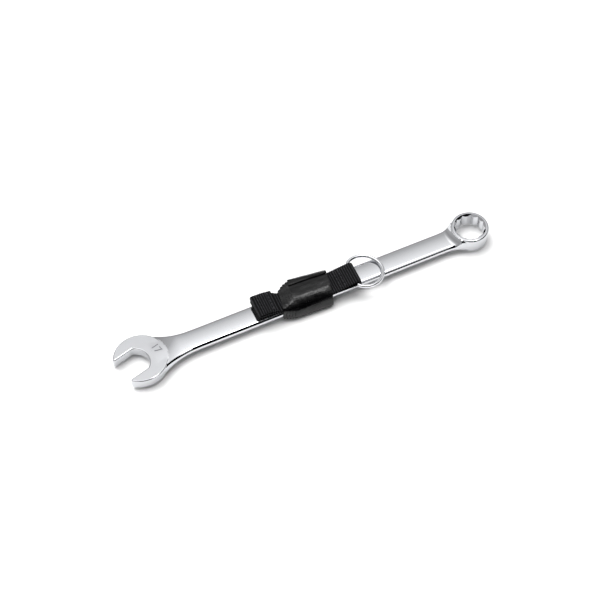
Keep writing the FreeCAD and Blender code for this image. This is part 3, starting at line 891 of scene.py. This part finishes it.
def tent():
    """A pale tent with a strip light overhead and a dark opening in front, whose head dips at one place."""
    world = bpy.data.worlds.new("tent")
    bpy.context.scene.world = world
    world.use_nodes = True
    tree = world.node_tree
    tree.nodes.clear()
    way = add(tree, "ShaderNodeTexCoord").outputs["Generated"]
    parts = add(tree, "ShaderNodeSeparateXYZ", {"Vector": way})
    height = parts.outputs["Z"]
    forward = {0: parts.outputs["Y"], 1: -1.0}
    front = add(tree, "ShaderNodeMath", forward, operation="MULTIPLY").outputs[0]
    # A stop is a place and a brightness. The cloth's places are heights, and the others run from -x to +x.
    by_height = ((0.0, 0.6), (0.45, 0.42), (0.72, 0.64), (0.86, 1.25), (0.945, 1.8))
    cloth = bands(tree, height, by_height)
    side = ramp(tree, parts.outputs["X"], 0.0, 1.0, -1.0, 1.0)
    strip_width = ((0.57, 0.0), (0.6, 1.0), (0.65, 1.0), (0.68, 0.0))
    lit = {0: bands(tree, side, strip_width), 1: ramp(tree, height, 0.0, 1.0, 0.935, 0.97)}
    panel = add(tree, "ShaderNodeMath", lit, operation="MULTIPLY").outputs[0]
    roof = add(tree, "ShaderNodeMix", {"Factor": panel}, data_type="RGBA")
    roof.inputs["B"].default_value = (11.0, 11.0, 11.0, 1)
    tree.links.new(cloth, roof.inputs["A"])
    # The opening's stops give the height of its head in the brightness's place.
    opening_head = ((0.26, 0.0), (0.31, 0.95), (0.6, 0.95), (0.64, 0.55), (0.7, 0.55), (0.77, 0.95))
    head = bands(tree, side, opening_head)
    above = add(tree, "ShaderNodeMath", {0: height, 1: head}, operation="SUBTRACT").outputs[0]
    clear_of_head = ramp(tree, above, 0.0, 1.0, -0.02, 0.04)
    beside = ramp(tree, front, 1.0, 0.0, 0.2, 0.26)
    keep = add(tree, "ShaderNodeMath", {0: beside, 1: clear_of_head}, operation="MAXIMUM").outputs[0]
    dark = add(tree, "ShaderNodeMix", {"Factor": keep}, data_type="RGBA")
    dark.inputs["A"].default_value = (0.004, 0.004, 0.005, 1)
    tree.links.new(roof.outputs["Result"], dark.inputs["B"])
    seen = add(tree, "ShaderNodeLightPath").outputs["Is Camera Ray"]
    backdrop = add(tree, "ShaderNodeMix", {"Factor": seen}, data_type="RGBA")
    backdrop.inputs["B"].default_value = (0.95, 0.95, 0.95, 1)
    tree.links.new(dark.outputs["Result"], backdrop.inputs["A"])
    glow = add(tree, "ShaderNodeBackground", {"Color": backdrop.outputs["Result"], "Strength": 1.0})
    output = add(tree, "ShaderNodeOutputWorld")
    tree.links.new(glow.outputs[0], output.inputs["Surface"])


def sun():
    """A soft light from high behind on the left, which gives the short shadows their side."""
    data = bpy.data.lights.new("soft_sun", "SUN")
    data.energy = 2.4
    data.angle = math.radians(40)
    lamp = bpy.data.objects.new("soft_sun", data)
    lamp.rotation_euler = Vector((-0.22, 0.42, 1.0)).to_track_quat("Z", "Y").to_euler()
    lamp.visible_glossy = False
    bpy.context.scene.collection.objects.link(lamp)


# the whole thing ------------------------------------------------------------------------------------------
bpy.context.scene.view_settings.view_transform = "Standard"
camera()
tent()
sun()
floor(matt_floor())

chrome = polished_chrome()
satin = satin_chrome("satin_chrome_plate", "#C8C9CC")
# painted shade for the floor of the stamped size: a darker satin than the face round it
stamped = satin_chrome("stamp_floor_painted_shade", "#9C9DA1")
wrench = spanner(chrome, satin, stamped)
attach(wrench, "spanner")
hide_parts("wrench")

wound = tape()
wound.data.materials.append(silicone_tape())
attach(wound, "spanner")
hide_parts("wrap_tape")

strip = webbing()
strip.data.materials.append(nylon_webbing())
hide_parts("web_anchor", "web_loop")
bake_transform(strip)

thread = bonded_thread()
stop_top = WEB_TOP + WEB_THICK + FOLD_PUFF
for name, body, rows in (
    ("stop_stitching", "spanner", [(x, stop_top + FOLD_LIFT * fold_rise(x)) for x in STOP_ROWS]),
    ("loop_stitching", "tail", [(x, WEB_TOP + rise) for x, rise in LOOP_ROWS]),
):
    stitches = stitching(name + "_thread", rows)
    stitches.data.materials.append(thread)
    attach(stitches, body)
    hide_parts(name)

wire = ring()
wire.data.materials.append(plated_wire())
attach(wire, "ring")
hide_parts("d_ring")
